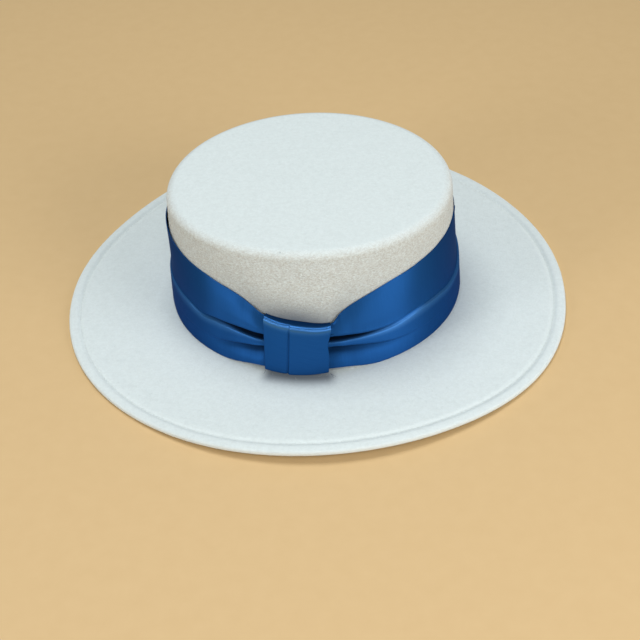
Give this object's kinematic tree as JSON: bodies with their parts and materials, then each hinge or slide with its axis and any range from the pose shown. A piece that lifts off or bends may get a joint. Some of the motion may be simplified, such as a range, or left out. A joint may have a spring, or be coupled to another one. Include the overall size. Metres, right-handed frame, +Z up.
{
  "type": "felt boater hat",
  "caption": "Flat-topped oval felt hat with a broad stitched brim and a pleated satin band gathered into a wrapped knot at one side.",
  "frame": {"origin": "on the surface the hat lies on, under the middle of its brim", "axes": "+Z up, X along the long axis of the oval, the band's knot faces -Y"},
  "size_m": [0.3406, 0.3284, 0.094],
  "materials": {
    "wool_felt": "matt white wool felt with a short nap",
    "satin": "lustrous royal blue satin"
  },
  "bodies": {
    "root": {"felt_body": "wool_felt", "ribbon_band": "satin", "knot_wrap": "satin"}
  },
  "joints": []
}
